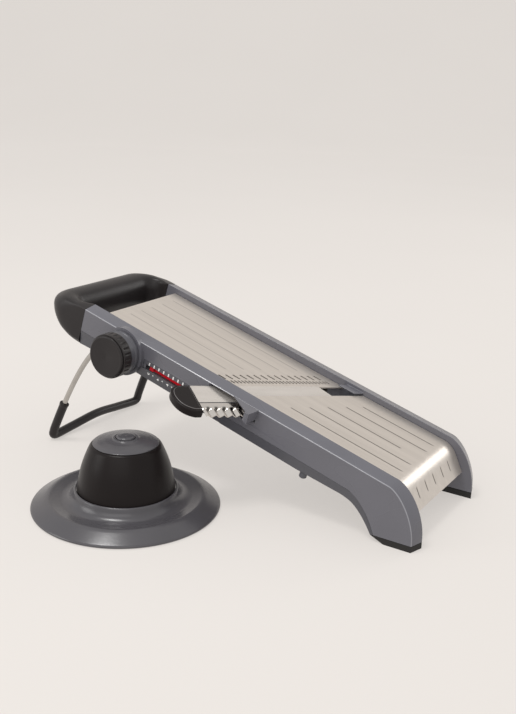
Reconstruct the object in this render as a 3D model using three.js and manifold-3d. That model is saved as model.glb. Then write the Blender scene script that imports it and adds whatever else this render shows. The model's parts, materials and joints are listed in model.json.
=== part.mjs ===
// A mandoline slicer with an adjustable runway, a pull-out blade cartridge, a folding wire leg
// and a loose food holder beside it. Millimetres, +Z up. The foot end points to +X, the handle
// to -X, and the thickness dial is on the -Y side. The origin is under the middle of the whole.
import * as THREE from 'three';
import { mergeVertices } from 'three/addons/utils/BufferGeometryUtils.js';
import Module from 'manifold-3d';

const wasm = await Module();
wasm.setup();

// ---------------------------------------------------------------- driving dimensions
const TILT = THREE.MathUtils.degToRad(16.2); // slope of the deck
const DECK_Z = 41.1; // height of the deck's plane above the toes
const BASE_X = 200; // toes to the middle of the overall length
const BASE_Y = 72.35; // slicer's centre line to the middle of the overall width
const GAP = 0.3; // room between two pieces that touch

const RAIL_OUT = 69; // outer face of a side rail
const RAIL_IN = 56.1; // inner face of a side rail
const RAIL_WALL = 2.5;
const RIDGE = 5.5; // inner top edge of a rail above the deck
const CREASE = 2.9; // outer top edge of a rail above the deck
const SPLIT = -19.5; // seam between the upper and the lower shell
const RAIL_BOTTOM = -30;
const RAIL_END = 360; // where the grip starts, measured up the deck from the toes
const PLATE_HALF = 55.6;
const SHEET = 1.2;

const PAD_HEIGHT = 5.3;
const PAD_BACK = -40;

const BLADE_ANGLE = THREE.MathUtils.degToRad(30); // the blade's skew across the deck
const EDGE_S = 169.5; // where the cutting edge crosses the centre line
const LANDING_GAP = 16.9; // cutting edge to the landing plate
const BAR_WIDTH = 40;
const BAR_TILT = THREE.MathUtils.degToRad(6);
const MOUTH_TOP = 2.2;
const SEAM_X = 23.6; // between the straight and the rippled blade
const BAR_OUT = -100; // the grip's shoulder, with the cartridge drawn out by 32
const BAR_IN = 32; // the cutting edge's inner end, with the cartridge drawn out by 32

const HINGE_S = 344; // runway hinge
const HINGE_W = -5;
const RUNWAY_TOP = 348.5;
const RUNWAY_TILT = THREE.MathUtils.degToRad(0.5);
const FOLLOWER_S = 285;
const RAMP_SLOPE = 0.1175;

const DIAL_S = 306;
const DIAL_W = -14;
const DIAL_R = 20.5;
const DIAL_FACE = -95.5;
const BOSS_R = 22.5;
const COLLAR_Y = [-82.5, -73];
const PINION_TEETH = 14;
const MODULE = 1;
const PINION_R = (PINION_TEETH * MODULE) / 2;

const WINDOW = { near: 222, far: 280, recess: -10.9, top: -14.7 };
const POINTER_S = 275;

const LEG_S = 332; // leg pivot
const LEG_W = -22;
const WIRE_R = 2.5;
const SLEEVE_R = 4.5;
const LEG_Y = 62.5;
const SLEEVE_TOP = 46;
const WIRE_STEPS = 44;

const HOLDER_X = -242.2;
const HOLDER_Y = -133.9;
const BRIM_R = 81.6;
const TURNS = 32; // facets of the holder's rings

// ---------------------------------------------------------------- materials
const finish = (color, roughness, metalness) => {
  return new THREE.MeshStandardMaterial({ color, roughness, metalness });
};
const SLATE = finish(0x6b707a, 0.5, 0);
const SLATE_DARK = finish(0x5b5f68, 0.55, 0);
const BLACK = finish(0x35302e, 0.62, 0);
const STEEL = finish(0xc8bfb5, 0.35, 1);
const BLADE_STEEL = finish(0xd6d2cc, 0.22, 1);
const RED = finish(0xbe0a19, 0.45, 0);
const INNER = finish(0x4a4c52, 0.6, 0);
const RUBBER = finish(0x26241f, 0.85, 0);
const BRIM = finish(0x545254, 0.5, 0);

// ---------------------------------------------------------------- solids
function toSolid(geometry) {
  const plain = geometry.clone();
  plain.deleteAttribute('normal');
  plain.deleteAttribute('uv');
  const merged = mergeVertices(plain, 1e-4);
  const place = merged.attributes.position.array;
  const corners = [];
  let volume = 0;
  for (let i = 0; i < merged.index.count; i += 3) {
    const [a, b, c] = [0, 1, 2].map((k) => merged.index.array[i + k]);
    if (a === b || b === c || c === a) continue;
    corners.push(a, b, c);
    const [p, q, r] = [a, b, c].map((k) => new THREE.Vector3().fromArray(place, 3 * k));
    volume += p.dot(q.cross(r));
  }
  if (volume < 0) corners.reverse();
  const vertProperties = new Float32Array(place);
  const triVerts = new Uint32Array(corners);
  return new wasm.Manifold(new wasm.Mesh({ numProp: 3, vertProperties, triVerts }));
}

function toGeometry(solid) {
  const mesh = solid.getMesh();
  const geometry = new THREE.BufferGeometry();
  geometry.setAttribute('position', new THREE.BufferAttribute(mesh.vertProperties, 3));
  geometry.setIndex(new THREE.BufferAttribute(mesh.triVerts, 1));
  geometry.computeVertexNormals();
  return geometry;
}

function block([x0, x1], [y0, y1], [z0, z1]) {
  const geometry = new THREE.BoxGeometry(x1 - x0, y1 - y0, z1 - z0);
  return toSolid(geometry.translate((x0 + x1) / 2, (y0 + y1) / 2, (z0 + z1) / 2));
}

// An outline in the XZ plane, carried along Y from y0 to y1.
function prism(outline, y0, y1) {
  const shape = new THREE.Shape(outline.map(([x, z]) => new THREE.Vector2(x, z)));
  const geometry = new THREE.ExtrudeGeometry(shape, { depth: y1 - y0, bevelEnabled: false });
  return toSolid(geometry.rotateX(Math.PI / 2).translate(0, y1, 0));
}

// An outline in the XY plane, carried along Z from z0 to z1.
function slab(outline, z0, z1) {
  const shape = new THREE.Shape(outline.map(([x, y]) => new THREE.Vector2(x, y)));
  const geometry = new THREE.ExtrudeGeometry(shape, { depth: z1 - z0, bevelEnabled: false });
  return toSolid(geometry.translate(0, 0, z0));
}

// Two outlines in the XZ plane with as many points, at y0 and y1, joined by straight sides.
function loft(first, second, y0, y1) {
  const count = first.length;
  const places = [...first.map(([x, z]) => [x, y0, z]), ...second.map(([x, z]) => [x, y1, z])];
  const flat = (outline) => outline.map(([x, z]) => new THREE.Vector2(x, z));
  const faces = THREE.ShapeUtils.triangulateShape(flat(first), []).map((face) => [...face].reverse());
  for (const face of THREE.ShapeUtils.triangulateShape(flat(second), [])) {
    faces.push(face.map((corner) => corner + count));
  }
  const turn = THREE.ShapeUtils.isClockWise(flat(first)) ? -1 : 1;
  for (let i = 0; i < count; i += 1) {
    const next = (i + 1) % count;
    const sides = [[i, next, next + count], [i, next + count, i + count]];
    for (const side of sides) faces.push(turn > 0 ? side : side.reverse());
  }
  const geometry = new THREE.BufferGeometry();
  geometry.setAttribute('position', new THREE.Float32BufferAttribute(places.flat(), 3));
  geometry.setIndex(faces.flat());
  return toSolid(geometry);
}

// Rings of as many places each, joined in order, with a flat cap on the first and the last.
function ringLoft(rings) {
  const size = rings[0].length;
  const faces = [];
  for (let i = 0; i + 1 < rings.length; i += 1) {
    for (let k = 0; k < size; k += 1) {
      const [a, b] = [i * size + k, i * size + ((k + 1) % size)];
      faces.push([a, b, b + size], [a, b + size, a + size]);
    }
  }
  const start = (rings.length - 1) * size;
  for (let k = 1; k + 1 < size; k += 1) faces.push([0, k + 1, k], [start, start + k, start + k + 1]);
  const geometry = new THREE.BufferGeometry();
  geometry.setAttribute('position', new THREE.Float32BufferAttribute(rings.flat(2), 3));
  geometry.setIndex(faces.flat());
  return toSolid(geometry);
}

// A turned piece about +Z: pairs of radius and height.
function turned(profile, segments) {
  const points = profile.map(([r, z]) => new THREE.Vector2(r, z));
  return toSolid(new THREE.LatheGeometry(points, segments).rotateX(Math.PI / 2));
}

function rod(radius, z0, z1, segments = 24) {
  return turned([[0, z0], [radius, z0], [radius, z1], [0, z1]], segments);
}

// The same, lying along Y at a place in the XZ plane.
function crossRod(radius, [x, z], y0, y1, segments = 24) {
  return rod(radius, -y1, -y0, segments).rotate([90, 0, 0]).translate([x, 0, z]);
}

function sweep(curve, radius, sides, steps) {
  const section = new THREE.Shape();
  section.absarc(0, 0, radius, 0, 2 * Math.PI);
  const options = { extrudePath: curve, steps, curveSegments: sides / 2, bevelEnabled: false };
  return toSolid(new THREE.ExtrudeGeometry(section, options));
}

function part(name, solid, material) {
  const mesh = new THREE.Mesh(toGeometry(solid), material);
  mesh.name = name;
  return mesh;
}

function groupOf(...meshes) {
  const group = new THREE.Group();
  group.add(...meshes);
  return group;
}

// ---------------------------------------------------------------- frames
// A point s up the deck from the toes and w above it, in the slicer's own XZ plane.
function onDeck(s, w) {
  const x = -s * Math.cos(TILT) + w * Math.sin(TILT);
  return [x, DECK_Z + s * Math.sin(TILT) + w * Math.cos(TILT)];
}

// In the deck's frame X runs down the deck, so a place s up the deck is at X = -s.
const deckPlace = (solid) => solid.rotate([0, THREE.MathUtils.radToDeg(TILT), 0]).translate([0, 0, DECK_Z]);
const bladeTurn = -THREE.MathUtils.radToDeg(BLADE_ANGLE);
const bladePlace = (solid) => solid.rotate([0, 0, bladeTurn]).translate([-EDGE_S, 0, 0]);

// ---------------------------------------------------------------- side rails
const TOE = {
  ridge: { w: RIDGE, back: 0, drop: 0 },
  crease: { w: CREASE, back: 3.6, drop: 2.2 },
};

const curvePoints = (points, divisions) => {
  const curve = new THREE.CubicBezierCurve(...points.map(([x, z]) => new THREE.Vector2(x, z)));
  return curve.getPoints(divisions).map((p) => [p.x, p.y]);
};

function seamLine(side) {
  const half = (side * GAP) / 2;
  const seam = curvePoints([onDeck(60, SPLIT + half), [-52 + half, 34.3], [-42 + half, 20],
    [-37.5 + half, PAD_HEIGHT + GAP]], 6);
  return [onDeck(RAIL_END, SPLIT + half), ...seam];
}

function upperOutline({ w, back, drop }) {
  const toe = curvePoints([onDeck(30, w), [-13.6 - back, 52.4 - drop], [-back, 30 - drop],
    [-back, PAD_HEIGHT + 3]], 8);
  return [onDeck(RAIL_END, w), ...toe, [-back, PAD_HEIGHT + GAP], ...seamLine(1).reverse()];
}

function lowerOutline() {
  const arch = curvePoints([[-74, 33.3], [-60, 30.5], [-50, 21], [PAD_BACK - GAP, PAD_HEIGHT + GAP]], 6);
  const base = [...arch.reverse(), onDeck(110, RAIL_BOTTOM), onDeck(290, RAIL_BOTTOM)];
  return [...seamLine(-1), ...base, onDeck(RAIL_END, RAIL_BOTTOM - 4)];
}

// side is -1 for the rail with the dial and 1 for the other.
const span = (side, a, b) => (side > 0 ? [a, b] : [-b, -a]);
const channel = (side) => span(side, RAIL_IN + RAIL_WALL, RAIL_OUT - RAIL_WALL);

function bossSolid() {
  const boss = crossRod(BOSS_R, onDeck(DIAL_S, DIAL_W), -RAIL_OUT - 3.7, -RAIL_OUT + 3, 40);
  const bore = crossRod(5.3, onDeck(DIAL_S, DIAL_W), -80, -40);
  return { boss, bore };
}

// The hood beside the mouth: it stands out of the rail towards the toes, square to the blade.
function hoodSolid() {
  const outline = [[-189, -66], [-161, -82.6], [-159, -82.6], [-157.5, -66]];
  const foot = [[-184, -66], [-166, -75], [-162, -75], [-159, -66]];
  const top = slab(outline, -6.5, CREASE - 0.1);
  const taper = slab(foot, -12, -6);
  return deckPlace(top.add(taper));
}

function mouthSolid() {
  const bar = block([-3, BAR_WIDTH + 4.5], [-140, -30], [-10, MOUTH_TOP]);
  return deckPlace(bladePlace(bar));
}

function upperRail(side) {
  const outer = upperOutline(TOE.crease);
  const inner = upperOutline(TOE.ridge);
  const [y0, y1] = span(side, RAIL_IN, RAIL_OUT);
  let rail = side > 0 ? loft(inner, outer, y0, y1) : loft(outer, inner, y0, y1);
  if (side < 0) {
    const { boss } = bossSolid();
    const above = deckPlace(block([-RAIL_END, 0], [-80, 0], [SPLIT + GAP / 2, 40]));
    rail = rail.add(boss.intersect(above)).add(hoodSolid());
  }
  const hollow = [onDeck(357, 0.2), onDeck(36, 0.2), [-19, 41], [-11, 29], [-7.6, 14], [-7.6, -5],
    [-60, -5], onDeck(100, -60), onDeck(357, -60)];
  rail = rail.subtract(prism(hollow, ...channel(side)));
  const pinHole = crossRod(2.6, onDeck(HINGE_S, HINGE_W), ...span(side, 50, 60));
  rail = rail.subtract(pinHole);
  if (side < 0) {
    const { near, far, top } = WINDOW;
    const bottom = SPLIT - 1;
    const pane = block([-far, -near], [-80, -RAIL_OUT + 4], [bottom, top]);
    const inside = block([-far, -near], [-60, -50], [bottom, top]);
    const recess = block([-far - 3, -near], [-80, -RAIL_OUT + 1], [bottom, WINDOW.recess]);
    const cuts = [bossSolid().bore, mouthSolid(), ...[pane, inside, recess].map(deckPlace)];
    return cuts.reduce((solid, cut) => solid.subtract(cut), rail);
  }
  const lug = block([0.6, LANDING_GAP - 0.6], [40, 80], [1, 2.4]);
  const reach = deckPlace(block([-RAIL_END, 0], [44, 57], [0, 10]));
  return rail.add(deckPlace(bladePlace(lug)).intersect(reach));
}

function lowerRail(side) {
  const outline = lowerOutline();
  let rail = prism(outline, ...span(side, RAIL_IN, RAIL_OUT));
  if (side < 0) {
    const below = deckPlace(block([-RAIL_END, 0], [-80, 0], [-60, SPLIT - GAP / 2]));
    rail = rail.add(bossSolid().boss.intersect(below));
  }
  const open = block([-346, -192], channel(side), [-60, 0]);
  const floored = block([-192.5, -95], channel(side), [RAIL_BOTTOM + RAIL_WALL, 0]);
  const pin = crossRod(2.5, onDeck(LEG_S, LEG_W), ...span(side, RAIL_IN + 0.8, RAIL_OUT - 0.8));
  return [deckPlace(open), deckPlace(floored), pin].reduce((solid, cut) => solid.subtract(cut), rail);
}

function footPad(side) {
  const inner = [[PAD_BACK, PAD_HEIGHT], [0, PAD_HEIGHT], [0, 0], [-28, 0]];
  const outer = [[PAD_BACK, PAD_HEIGHT], [-3.6, PAD_HEIGHT], [-4, 0], [-28, 0]];
  const [y0, y1] = span(side, RAIL_IN, RAIL_OUT);
  return side > 0 ? loft(inner, outer, y0, y1) : loft(outer, inner, y0, y1);
}

function bowlStop(side) {
  const nub = turned([[0, -36], [2.4, -36], [3.4, -35], [3.4, RAIL_BOTTOM - GAP], [0, RAIL_BOTTOM - GAP]], 20);
  return deckPlace(nub.translate([-103, side * 62.5, 0]));
}

// ---------------------------------------------------------------- handle
// The grip's section, as places across it (-1 inside, 1 outside) and heights above the deck:
// first where it meets the rails, then at the middle of its crossbar.
const GRIP_JOINT = [[-1, RIDGE], [0, 4.2], [1, CREASE], [1, -8], [1, -15], [1, -22], [1, -30],
  [0.6, -33.8], [-0.6, -33.8], [-1, -30], [-1, -18], [-1, -6]];
const GRIP_BAR = [[-0.4, 2.4], [0.1, 2.4], [0.45, 0], [0.88, -6], [1, -11], [0.84, -20], [0.42, -27],
  [-0.1, -32.5], [-0.6, -32], [-0.95, -26], [-1, -16], [-0.8, -4]];
const GRIP_OUT = { half: RAIL_OUT, end: 413, radius: 26 };
const GRIP_IN = { half: RAIL_IN, end: 377, radius: 11 };

// Places along one side of the grip's outline, from the rail to the middle of the crossbar.
function gripEdge({ half, end, radius }) {
  const places = [[RAIL_END + GAP, half], [(RAIL_END + end - radius) / 2, half]];
  for (let i = 0; i <= 5; i += 1) {
    const turn = (i * Math.PI) / 10;
    places.push([end - radius + radius * Math.sin(turn), half - radius + radius * Math.cos(turn)]);
  }
  return [...places, [end, (half - radius) / 2], [end, 0]];
}

function handleGrip() {
  const outer = gripEdge(GRIP_OUT);
  const inner = gripEdge(GRIP_IN);
  const ring = (i, side) => {
    const blend = THREE.MathUtils.smoothstep(i, 0.5, 5.5);
    return GRIP_JOINT.map(([n0, w0], k) => {
      const n = THREE.MathUtils.lerp(n0, GRIP_BAR[k][0], blend);
      const [s, v] = [0, 1].map((axis) => THREE.MathUtils.lerp(inner[i][axis], outer[i][axis], (n + 1) / 2));
      return [-s, side * v, THREE.MathUtils.lerp(w0, GRIP_BAR[k][1], blend)];
    });
  };
  const last = outer.length - 1;
  const rings = [...outer.keys()].map((i) => ring(i, -1));
  for (let i = last - 1; i >= 0; i -= 1) rings.push(ring(i, 1));
  const sinks = [-1, 1].map((side) => rod(3.9, -40, -31.7).translate([-366, side * 62.5, 0]));
  return sinks.reduce((solid, sink) => solid.subtract(sink), ringLoft(rings));
}

// ---------------------------------------------------------------- deck plates and beams
function landingPlate() {
  const bend = new THREE.QuadraticBezierCurve(new THREE.Vector2(...onDeck(32, 0)),
    new THREE.Vector2(...onDeck(22, 0)), new THREE.Vector2(-17, 37));
  const path = [new THREE.Vector2(...onDeck(205, 0)), ...bend.getPoints(5), new THREE.Vector2(-10.5, 23.6)];
  const under = path.map((point, i) => {
    const ahead = path[Math.min(i + 1, path.length - 1)].clone();
    const way = ahead.sub(path[Math.max(i - 1, 0)]).normalize();
    return [point.x + way.y * SHEET, point.y - way.x * SHEET];
  });
  const sheet = prism([...path.map((p) => [p.x, p.y]), ...under.reverse()], -PLATE_HALF, PLATE_HALF);
  const throat = block([-400, LANDING_GAP], [-400, 400], [-60, 60]);
  return sheet.subtract(deckPlace(bladePlace(throat)));
}

function rearCrossMember() {
  return block([-347, -336], [-55.8, 55.8], [RAIL_BOTTOM - 1.5, -25.3]);
}

function frontCrossMember() {
  const beam = block([-62, -46], [-55.8, 55.8], [-21, -1.6]);
  return beam.subtract(block([-59.5, -48.5], [-53, 53], [-30, -4]));
}

function bladeBed() {
  const bed = block([17, 46], [-200, 200], [-14, -10.2]);
  const stop = block([43.5, 46], [-200, 200], [-10.3, -4]);
  const between = block([-300, 0], [-55.8, 55.8], [-30, 10]);
  const passage = bladePlace(block([30, 60], [-200, -45], [-10, 2]));
  return bladePlace(bed.add(stop)).intersect(between).subtract(passage);
}

function bladeSeat() {
  const ledge = block([1, 16.5], [40, 120], [-14, -9]);
  const within = block([-300, 0], [42, 55.8], [-30, 10]);
  return bladePlace(ledge).intersect(within);
}

function scalePlate() {
  const { near, far, recess, top } = WINDOW;
  return block([-far - 2.7, -near - GAP], [-RAIL_OUT + 0.1, -RAIL_OUT + 0.7], [top, recess - GAP]);
}

function handleScrew(side) {
  const head = turned([[0, -34.3], [3, -34.3], [3.6, -33.4], [3.6, -32], [0, -32]], 16);
  const socket = rod(1.5, -40, -33.2, 6);
  return head.subtract(socket).translate([-366, side * 62.5, 0]);
}

// ---------------------------------------------------------------- runway, in its hinge's frame
// X = 0 is the hinge, so a place s up the deck is at X = HINGE_S - s, and Z = 0 is the steel's top.
const runwayX = (s) => HINGE_S - s;
const runwayBlade = (solid) => solid.rotate([0, 0, bladeTurn]).translate([runwayX(EDGE_S), 0, 0]);

const FRY = { count: 16, pitch: 7.3, row: -17.1, length: 8, start: -67.5 };
const JULIENNE = { count: 31, pitch: 3.65, row: -8.7, length: 4.6, start: -60.4 };

// Boxes along one row, each set along the deck, as wide and as long as asked.
function rowOf({ count, pitch, row, length, start }, width, extra, z0, z1) {
  return Array.from({ length: count }, (_, i) => {
    const along = start + i * pitch;
    const x = runwayX(EDGE_S) + row * Math.cos(BLADE_ANGLE) + along * Math.sin(BLADE_ANGLE);
    const y = -row * Math.sin(BLADE_ANGLE) + along * Math.cos(BLADE_ANGLE);
    const reach = (length + extra) / 2;
    return block([x - reach, x + reach], [y - width / 2, y + width / 2], [z0, z1]);
  });
}

function runwayPlate() {
  const sheet = block([runwayX(RUNWAY_TOP), runwayX(100)], [-55.5, 55.5], [-SHEET, 0]);
  const throat = runwayBlade(block([-0.6, 300], [-300, 300], [-20, 20]));
  const slits = [...rowOf(FRY, 1.6, 1, -5, 5), ...rowOf(JULIENNE, 1.3, 1, -5, 5)];
  return slits.reduce((solid, slit) => solid.subtract(slit), sheet.subtract(throat));
}

function runwayCarrier() {
  const top = -SHEET - GAP;
  const ribs = [-1, 1].flatMap((side) => [
    block([0, runwayX(150)], span(side, 30, 33), [-7, top]),
    block([runwayX(FOLLOWER_S) - 3, runwayX(FOLLOWER_S) + 3], span(side, 19, 31), [-8.4, top]),
    crossRod(3.4, [0, HINGE_W], ...span(side, 45, 55), 20),
    block([0, 8], span(side, 30, 55), [-6.5, top]),
  ]);
  ribs.push(block([runwayX(262), runwayX(258)], [-32, 32], [-3.9, top]));
  const skirt = runwayBlade(block([-26, -22], [-90, 90], [-7, top]));
  ribs.push(skirt.intersect(block([0, 300], [-52, 52], [-20, 0])));
  const joined = ribs.reduce((solid, rib) => solid.add(rib));
  const cuts = [-1, 1].map((side) => crossRod(2.1, [0, HINGE_W], ...span(side, 40, 60), 20));
  cuts.push(runwayBlade(block([-22, 200], [-200, 200], [-30, 10])));
  return cuts.reduce((solid, cut) => solid.subtract(cut), joined);
}

function comb(row, thickness, halfBar) {
  const teeth = rowOf(row, thickness, 0, -12, -1.7);
  const end = row.start + (row.count - 1) * row.pitch;
  const bar = block([row.row - halfBar, row.row + halfBar], [row.start - 2, end + 2], [-14, -10.5]);
  return teeth.reduce((solid, tooth) => solid.add(tooth), runwayBlade(bar));
}

function runwayPin(side) {
  const profile = [[0, 47], [1.8, 47], [1.8, 59], [3.6, 59], [3.6, 60.5], [0, 60.5]];
  const pin = turned(profile, 18).rotate([-90 * side, 0, 0]);
  return pin.translate([-HINGE_S, 0, HINGE_W]);
}

// ---------------------------------------------------------------- dial and sled, in the deck's frame
function dialKnob() {
  const [front, back] = [DIAL_FACE + 2.4, COLLAR_Y[0] - GAP];
  const body = crossRod(DIAL_R, [0, 0], front, back, 48);
  const ribs = Array.from({ length: 24 }, (_, i) => {
    const turn = (i * 360) / 24;
    return crossRod(0.9, [DIAL_R + 0.1, 0], front + 3, back + 1, 6).rotate([0, turn, 0]);
  });
  const hollow = crossRod(DIAL_R - 3, [0, 0], front + 4, back + 1, 32);
  const hub = crossRod(8, [0, 0], front + 3, back, 24);
  const bore = crossRod(4.3, [0, 0], front + 2, back + 1);
  const grooved = ribs.reduce((solid, rib) => solid.subtract(rib), body);
  return grooved.subtract(hollow).add(hub).subtract(bore);
}

function dialCap() {
  const profile = [[0, 0], [18.2, 0], [19.2, 0.5], [18.8, 1.5], [17, 2.1], [0, 2.1]];
  return turned(profile, 40).rotate([90, 0, 0]).translate([0, DIAL_FACE + 2.1, 0]);
}

function dialShaft() {
  const shaft = crossRod(4, [0, 0], DIAL_FACE + 5, -41.4, 20);
  return shaft.subtract(crossRod(6, [0, 0], -43, -42.2).subtract(crossRod(3.3, [0, 0], -44, -41)));
}

function dialPinion() {
  const shape = new THREE.Shape();
  for (let i = 0; i < PINION_TEETH; i += 1) {
    const middle = (i * 2 * Math.PI) / PINION_TEETH - Math.PI / 2;
    const corners = [[-0.32, PINION_R - 1.3], [-0.16, PINION_R], [-0.07, PINION_R + 0.85],
      [0.07, PINION_R + 0.85], [0.16, PINION_R], [0.32, PINION_R - 1.3]];
    for (const [turn, radius] of corners) {
      const angle = middle + (turn * 2 * Math.PI) / PINION_TEETH;
      const [x, y] = [radius * Math.cos(angle), radius * Math.sin(angle)];
      if (shape.curves.length || shape.currentPoint.lengthSq()) shape.lineTo(x, y);
      else shape.moveTo(x, y);
    }
  }
  const wheel = toSolid(new THREE.ExtrudeGeometry(shape, { depth: 6, bevelEnabled: false }));
  return wheel.rotate([90, 0, 0]).translate([0, -44, 0]).subtract(crossRod(4.3, [0, 0], -52, -42, 20));
}

function dialClip() {
  const ring = crossRod(6, [0, 0], -42.9, -42.3, 20).subtract(crossRod(3.5, [0, 0], -44, -41, 20));
  return ring.subtract(block([0, 8], [-44, -41], [-2, 2]));
}

// Fixed ring between the knob and the rail's boss.
function dialCollar() {
  const middle = [-DIAL_S, DIAL_W];
  return crossRod(DIAL_R - 0.4, middle, ...COLLAR_Y, 40).subtract(crossRod(4.4, middle, -90, -60, 24));
}

function dialBush() {
  const bush = crossRod(5, [-DIAL_S, DIAL_W], -72.3, -66.9, 24);
  return bush.subtract(crossRod(4.3, [-DIAL_S, DIAL_W], -80, -60, 24));
}

const SLED_TOP = -17.4;

function sledPlate() {
  const plan = [[-322, -41], [-292, -41], [-292, -53.5], [-265, -53.5], [-240, -10], [-240, 53.5], [-322, 53.5]];
  const plate = slab(plan, SLED_TOP - 2.4, SLED_TOP);
  const ramp = (side) => {
    const height = (s) => -9.65 - (s - FOLLOWER_S) * RAMP_SLOPE;
    const outline = [[-316, SLED_TOP - 1], [-316, height(316)], [-278, height(278)], [-278, SLED_TOP - 1]];
    return prism(outline, ...span(side, 20, 27));
  };
  const window = block([-274, -246], [-38, 44], [-30, 0]);
  return plate.add(ramp(-1)).add(ramp(1)).subtract(window);
}

function sledRack() {
  const pitchLine = DIAL_W - PINION_R;
  const pitch = Math.PI * MODULE;
  const [start, end] = [-341, -296];
  const bar = block([start, -280], [-50.5, -43.5], [pitchLine - 3.6, pitchLine - 1.35]);
  const riser = block([-291, -280], [-50.5, -43.5], [pitchLine - 3.6, SLED_TOP - 2.4 - GAP]);
  const teeth = [];
  const first = Math.ceil((start + DIAL_S) / pitch - 0.5) + 0.5;
  for (let k = first; -DIAL_S + (k + 1) * pitch < end; k += 1) {
    const x = -DIAL_S + k * pitch;
    const outline = [[x - 0.95, pitchLine - 1.5], [x - 0.5, pitchLine], [x - 0.25, pitchLine + 0.75],
      [x + 0.25, pitchLine + 0.75], [x + 0.5, pitchLine], [x + 0.95, pitchLine - 1.5]];
    if (x - 1 > start) teeth.push(prism(outline, -50.5, -43.5));
  }
  return teeth.reduce((solid, tooth) => solid.add(tooth), bar.add(riser));
}

function thicknessPointer() {
  const bar = block([-POINTER_S, -POINTER_S + 50], [-66.1, -64.6], [-18.9, -15.1]);
  const arm = block([-POINTER_S + 4, -POINTER_S + 12], [-65, -46], [SLED_TOP + GAP, -15.6]);
  return bar.add(arm);
}

function sledGuide(side) {
  return block([-345, -226], span(side, 51.5, 55.8), [SLED_TOP - 5.4, SLED_TOP - 2.4 - GAP]);
}

// ---------------------------------------------------------------- cartridge, in the blade's frame
// X = 0 is the cutting edge, +X runs towards the toes and Y along the blade, with -Y outwards.
const tipped = (solid) => solid.rotate([0, THREE.MathUtils.radToDeg(BAR_TILT), 0]);
const BAR_REACH = BAR_IN + 30;

// The inner end of the bar and its blades is square to the rails, so it is skew to the blade.
function trimmed(solid) {
  const beyond = block([-60, 90], [0, 100], [-40, 40]).rotate([0, 0, -bladeTurn]);
  return tipped(solid.subtract(beyond.translate([0, BAR_IN, 0])));
}

function cartridgeGrip() {
  const shape = new THREE.Shape();
  const [left, right, depth] = [-0.6, BAR_WIDTH - 4.4, 21];
  shape.moveTo(left, BAR_OUT);
  shape.lineTo(left, BAR_OUT - 10);
  shape.quadraticCurveTo(left + 1, BAR_OUT - depth + 1, left + 13, BAR_OUT - depth);
  shape.quadraticCurveTo(right - 5, BAR_OUT - depth, right, BAR_OUT - 6);
  shape.lineTo(right, BAR_OUT);
  shape.closePath();
  const geometry = new THREE.ExtrudeGeometry(shape, { depth: 7.6, bevelEnabled: false, curveSegments: 8 });
  const socket = block([4, BAR_WIDTH - 7], [BAR_OUT - 8.3, BAR_OUT + 1], [-5, -0.8]);
  return tipped(toSolid(geometry.translate(0, 0, -7)).subtract(socket));
}

function cartridgeFrame() {
  const bar = block([5, BAR_WIDTH - 10.2], [BAR_OUT - 8, BAR_REACH], [-4.6, -1.1]);
  const spine = block([SEAM_X - 0.3, SEAM_X + 0.3], [BAR_OUT + GAP, BAR_REACH], [-2, 0]);
  return trimmed(bar.add(spine));
}

function straightBlade() {
  const back = SEAM_X - 0.6;
  const outline = [[0, -0.2], [3, 0], [back, 0], [back, -0.8], [3, -0.8]];
  return trimmed(prism(outline, BAR_OUT + GAP, BAR_REACH));
}

// Flat where it is fixed, and pressed into ripples towards its edge.
function wavyBlade() {
  const [ripples, height] = [21, 1.1];
  const [flat, edge] = [BAR_WIDTH - 9.4, BAR_WIDTH + 0.2];
  const [start, end] = [BAR_OUT + GAP, BAR_REACH];
  const plate = block([SEAM_X + 0.6, flat], [start, end], [-0.8, 0]);
  const steps = [...Array(4 * ripples + 1).keys()];
  const wave = steps.map((i) => [start + ((end - start) * i) / (4 * ripples), height * Math.sin((i * Math.PI) / 2)]);
  const line = (drop) => wave.map(([along, up]) => [along, up - height - drop]);
  const strip = slab([...line(0.02), ...line(0.75).reverse()], flat - 0.4, edge);
  return trimmed(plate.add(strip.rotate([90, 0, 90])));
}

// ---------------------------------------------------------------- wire leg
const LEG_PIVOT = onDeck(LEG_S, LEG_W);
const LEG_CORNER = [-395.7, SLEEVE_R - 0.2];

function legCurve(top) {
  const [px, pz] = LEG_PIVOT;
  const [cx, cz] = LEG_CORNER;
  const half = (sign) => {
    const down = new THREE.CubicBezierCurve3(
      new THREE.Vector3(px - 5.2, sign * LEG_Y, pz - 2.6),
      new THREE.Vector3(px - 24, sign * LEG_Y, pz - 12),
      new THREE.Vector3(px - 46, sign * LEG_Y, pz - 48),
      new THREE.Vector3(cx + 2.6, sign * (LEG_Y + 3.4), cz + 8));
    const corner = new THREE.QuadraticBezierCurve3(
      new THREE.Vector3(cx + 1.6, sign * (LEG_Y + 3.8), cz + 5),
      new THREE.Vector3(cx, sign * (LEG_Y + 5), cz),
      new THREE.Vector3(cx, sign * (LEG_Y - 2), cz));
    return [...down.getPoints(20).filter((p) => p.z < top), ...corner.getPoints(4)];
  };
  const rise = new THREE.Vector3(cx + 1, 0, cz + 5);
  const points = [...half(-1), new THREE.Vector3(cx, -34, cz + 2), rise];
  points.push(new THREE.Vector3(cx, 34, cz + 2), ...half(1).reverse());
  return new THREE.CatmullRomCurve3(points, false, 'centripetal');
}

const wireSweep = (radius) => sweep(legCurve(DECK_Z * 4), radius, 8, WIRE_STEPS);

const legWire = () => wireSweep(WIRE_R);

function legSleeve() {
  return sweep(legCurve(SLEEVE_TOP), SLEEVE_R, 8, 32).subtract(wireSweep(WIRE_R + GAP));
}

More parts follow.
